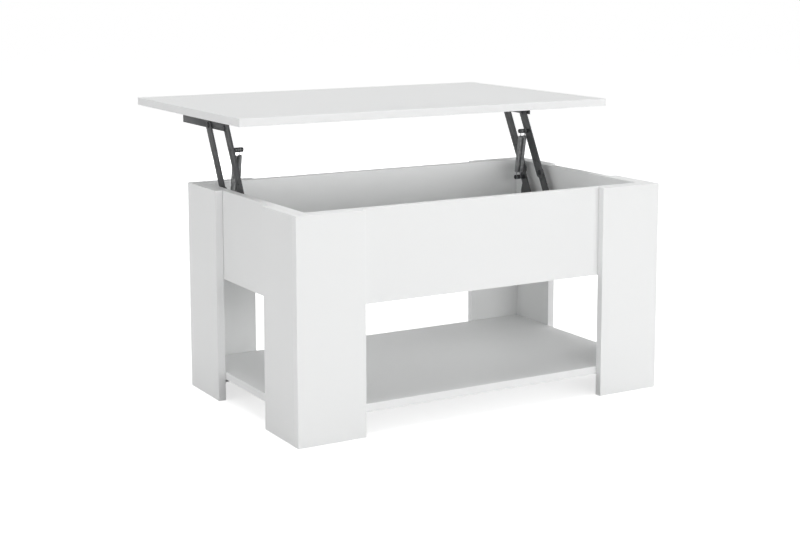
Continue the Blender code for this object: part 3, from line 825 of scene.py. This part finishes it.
def makeCoilTree():
    tree, source, result = newTree(
        "springCoil", "GeometryNodeTree",
        [("Geometry", "NodeSocketGeometry", None), ("Coil Radius", "NodeSocketFloat", 0.004),
         ("Wire Radius", "NodeSocketFloat", 0.0007), ("Turns", "NodeSocketFloat", 50.0),
         ("Length", "NodeSocketFloat", 0.07), ("Points Per Turn", "NodeSocketInt", 20),
         ("Around Wire", "NodeSocketInt", 8), ("Finish", "NodeSocketMaterial", None)],
        [("Geometry", "NodeSocketGeometry")])
    spiral = addNode(tree, "GeometryNodeCurveSpiral", (-400, 150))
    ring = addNode(tree, "GeometryNodeCurvePrimitiveCircle", (-400, -150))
    tube = addNode(tree, "GeometryNodeCurveToMesh", (-150, 0))
    tube.inputs["Fill Caps"].default_value = True
    smooth = addNode(tree, "GeometryNodeSetShadeSmooth", (50, 0))
    whole = addNode(tree, "GeometryNodeRealizeInstances", (250, 0))
    finish = addNode(tree, "GeometryNodeSetMaterial", (450, 0))
    link(tree,
         (source.outputs["Points Per Turn"], spiral.inputs["Resolution"]),
         (source.outputs["Turns"], spiral.inputs["Rotations"]),
         (source.outputs["Coil Radius"], spiral.inputs["Start Radius"]),
         (source.outputs["Coil Radius"], spiral.inputs["End Radius"]),
         (source.outputs["Length"], spiral.inputs["Height"]),
         (source.outputs["Around Wire"], ring.inputs["Resolution"]),
         (source.outputs["Wire Radius"], ring.inputs["Radius"]),
         (spiral.outputs["Curve"], tube.inputs["Curve"]),
         (ring.outputs["Curve"], tube.inputs["Profile Curve"]),
         (tube.outputs["Mesh"], smooth.inputs["Geometry"]),
         (smooth.outputs["Geometry"], whole.inputs["Geometry"]),
         (whole.outputs["Geometry"], finish.inputs["Geometry"]),
         (source.outputs["Finish"], finish.inputs["Material"]),
         (finish.outputs["Geometry"], result.inputs["Geometry"]))
    return tree


def hookPath(look):
    # the coil's end turn at (coilRadius, 0, endReach), the stud's axis along X through the origin
    reach, neck, ring, coil = look["endReach"], look["neck"], look["ringRadius"], look["coilRadius"]
    path = []
    for step in range(look["neckSteps"] + 1):
        turn = math.pi / 2 * step / look["neckSteps"]
        path.append(Vector((coil * (1 - math.sin(turn)), 0, reach - neck * (1 - math.cos(turn)))))
    path.append(Vector((0, 0, (reach - neck + ring) / 2)))
    opening = math.radians(look["ringOpening"])
    for step in range(look["ringSteps"] + 1):
        turn = math.pi / 2 + (2 * math.pi - opening) * step / look["ringSteps"]
        path.append(Vector((0, ring * math.cos(turn), ring * math.sin(turn))))
    return path


def makeSprings(side, look):
    lower, upper = centreOf(f"{side}_lower_spring_stud"), centreOf(f"{side}_upper_spring_stud")
    line = Vector((0, upper.y - lower.y, upper.z - lower.z))
    length = line.length - 2 * look["endReach"]
    along = line.normalized()
    turns = round(length / look["turnPitch"])
    for which in ("outer", "inner"):
        node = f"{side}_{which}_spring"
        x = centreOf(node + "_core").x
        stand = Matrix.Translation((x, lower.y, lower.z)) @ Matrix((
            (1, 0, 0, 0), (0, along.z, along.y, 0), (0, -along.y, along.z, 0), (0, 0, 0, 1)))
        name = toCamel(node) + "Coil"
        coil = runTree(coilTree, name, {
            "Coil Radius": look["coilRadius"], "Wire Radius": look["wireRadius"], "Turns": float(turns),
            "Length": length, "Points Per Turn": look["pointsPerTurn"], "Around Wire": look["aroundWire"],
            "Finish": wireSteel})
        coil.transform(Matrix.Translation((0, 0, look["endReach"])))
        bm = bmesh.new()
        bm.from_mesh(coil)
        hook = hookPath(look)
        sweptWire(bm, hook, look["wireRadius"], look["aroundHook"])
        bmesh.ops.transform(bm, matrix=stand, verts=bm.verts)
        mesh = finishMesh(name, bm, smoothAngle=60)
        spring = addPiece(name, mesh, wireSteel, [node, node + "_core"], blended=True)
        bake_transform(spring)
        bm = bmesh.new()
        upperHook = [Vector((point.x, -point.y, line.length - point.z)) for point in hook]
        sweptWire(bm, upperHook, look["wireRadius"], look["aroundHook"])
        bmesh.ops.transform(bm, matrix=stand, verts=bm.verts)
        hookName = toCamel(node) + "UpperHook"
        addPiece(hookName, finishMesh(hookName, bm, smoothAngle=60), wireSteel, [node + "_upper_hook"])


coilTree = makeCoilTree()
for side, inward in tableSides:
    makeSprings(side, springMaking)
print("springs made")


# screws

screwMaking = {
    "headRadius": 0.0036,
    "headHeight": 0.0018,
    "shankRadius": 0.0016,
    "shankLength": 0.012,
    "tipLength": 0.003,
    "rim": 0.0003,
    "crownShare": 0.45,       # radius of the head's flat middle
    "domeSteps": 8,
    "crossWidth": 0.0009,
    "crossLength": 0.0042,
    "crossDepth": 0.0011,
    "crossTaper": (0.35, 0.6),     # what is left of its length and width at the bottom
    "headSteps": 36,
    "seed": 7,
}


def makeScrewShape(look):
    # a pan head with a cross recess, standing on Z with its plate at 0
    height, radius, rim, crown = look["headHeight"], look["headRadius"], look["rim"], look["crownShare"]
    tip, shank = -look["shankLength"], look["shankRadius"]
    profile = [(tip, 0), (tip + look["tipLength"], shank), (0, shank), (0, radius)]
    for step in range(look["domeSteps"] + 1):
        turn = math.pi / 2 * step / look["domeSteps"]
        across = radius * (crown + (1 - crown) * math.cos(turn))
        profile.append((rim + (height - rim) * math.sin(turn), across))
    profile.append((height, 0))
    headMesh = turnedMesh("screwHead", profile, (0, 0, 0), (0, 0, 1), look["headSteps"])
    head = bpy.data.objects.new("screwHead", headMesh)
    bm = bmesh.new()
    for turn in (0, math.pi / 2):
        made = bmesh.ops.create_cube(bm, size=1)["verts"]
        bmesh.ops.scale(bm, vec=(look["crossLength"], look["crossWidth"], look["crossDepth"] * 2), verts=made)
        for vert in made:
            if vert.co.z < 0:
                vert.co.x *= look["crossTaper"][0]
                vert.co.y *= look["crossTaper"][1]
        bmesh.ops.rotate(bm, matrix=Matrix.Rotation(turn, 3, "Z"), verts=made)
        bmesh.ops.translate(bm, vec=(0, 0, height), verts=made)
    cross = bpy.data.objects.new("crossCutter", finishMesh("crossCutter", bm))
    for item in (head, cross):
        scene.collection.objects.link(item)
    cut = head.modifiers.new("cross", "BOOLEAN")
    cut.operation = "DIFFERENCE"
    cut.solver = "EXACT"
    cut.use_self = True
    cut.object = cross
    bpy.context.view_layer.update()
    graph = bpy.context.evaluated_depsgraph_get()
    mesh = bpy.data.meshes.new_from_object(head.evaluated_get(graph))
    for item in (head, cross):
        bpy.data.objects.remove(item, do_unlink=True)
    mesh.shade_smooth()
    mesh.set_sharp_from_angle(angle=math.radians(30))
    return mesh


def makeScrewTree():
    tree, source, result = newTree(
        "screwRow", "GeometryNodeTree",
        [("Geometry", "NodeSocketGeometry", None), ("Screw", "NodeSocketObject", None),
         ("Aim", "NodeSocketVector", (0, 0, 0)), ("Seed", "NodeSocketInt", 7),
         ("Finish", "NodeSocketMaterial", None)],
        [("Geometry", "NodeSocketGeometry")])
    shape = addNode(tree, "GeometryNodeObjectInfo", (-450, -150))
    aim = addNode(tree, "FunctionNodeEulerToRotation", (-450, 50))
    copies = addNode(tree, "GeometryNodeInstanceOnPoints", (-200, 100))
    spin = addNode(tree, "FunctionNodeRandomValue", (-200, -200), data_type="FLOAT_VECTOR")
    spin.inputs["Min"].default_value = (0, 0, 0)
    spin.inputs["Max"].default_value = (0, 0, 2 * math.pi)
    turned = addNode(tree, "GeometryNodeRotateInstances", (50, 0))
    whole = addNode(tree, "GeometryNodeRealizeInstances", (250, 0))
    finish = addNode(tree, "GeometryNodeSetMaterial", (450, 0))
    link(tree,
         (source.outputs["Geometry"], copies.inputs["Points"]),
         (source.outputs["Screw"], shape.inputs["Object"]),
         (source.outputs["Aim"], aim.inputs["Euler"]),
         (shape.outputs["Geometry"], copies.inputs["Instance"]),
         (aim.outputs["Rotation"], copies.inputs["Rotation"]),
         (source.outputs["Seed"], spin.inputs["Seed"]),
         (copies.outputs["Instances"], turned.inputs["Instances"]),
         (spin.outputs["Value"], turned.inputs["Rotation"]),
         (turned.outputs["Instances"], whole.inputs["Geometry"]),
         (whole.outputs["Geometry"], finish.inputs["Geometry"]),
         (source.outputs["Finish"], finish.inputs["Material"]),
         (finish.outputs["Geometry"], result.inputs["Geometry"]))
    return tree


def makeScrewRow(name, places, aim, shape, look):
    # places has the point under each screw's head, by node
    points = bpy.data.meshes.new(name + "Places")
    points.from_pydata(list(places.values()), [], [])
    values = {"Screw": shape, "Aim": aim, "Seed": look["seed"], "Finish": zinc}
    addPiece(name, runTree(screwTree, name, values, points), zinc, list(places))


def makeScrews(side, inward, shape, look):
    height = look["headHeight"]
    onWall, onTop = {}, {}
    for node in frame["nodes"]:
        low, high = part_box(node)
        centre = (low + high) / 2
        if node.startswith(side + "_bracket_screw"):
            onWall[node] = (high.x - height if inward > 0 else low.x + height, centre.y, centre.z)
        if node.startswith(side + "_rail_screw"):
            onTop[node] = (centre.x, centre.y, low.z + height)
    makeScrewRow(side + "BracketScrews", onWall, (0, inward * math.pi / 2, 0), shape, look)
    makeScrewRow(side + "RailScrews", onTop, (math.pi, 0, 0), shape, look)


screwTree = makeScrewTree()
screwShape = bpy.data.objects.new("screwShape", makeScrewShape(screwMaking))
scene.collection.objects.link(screwShape)
for side, inward in tableSides:
    makeScrews(side, inward, screwShape, screwMaking)
bpy.data.objects.remove(screwShape, do_unlink=True)
print("screws made")
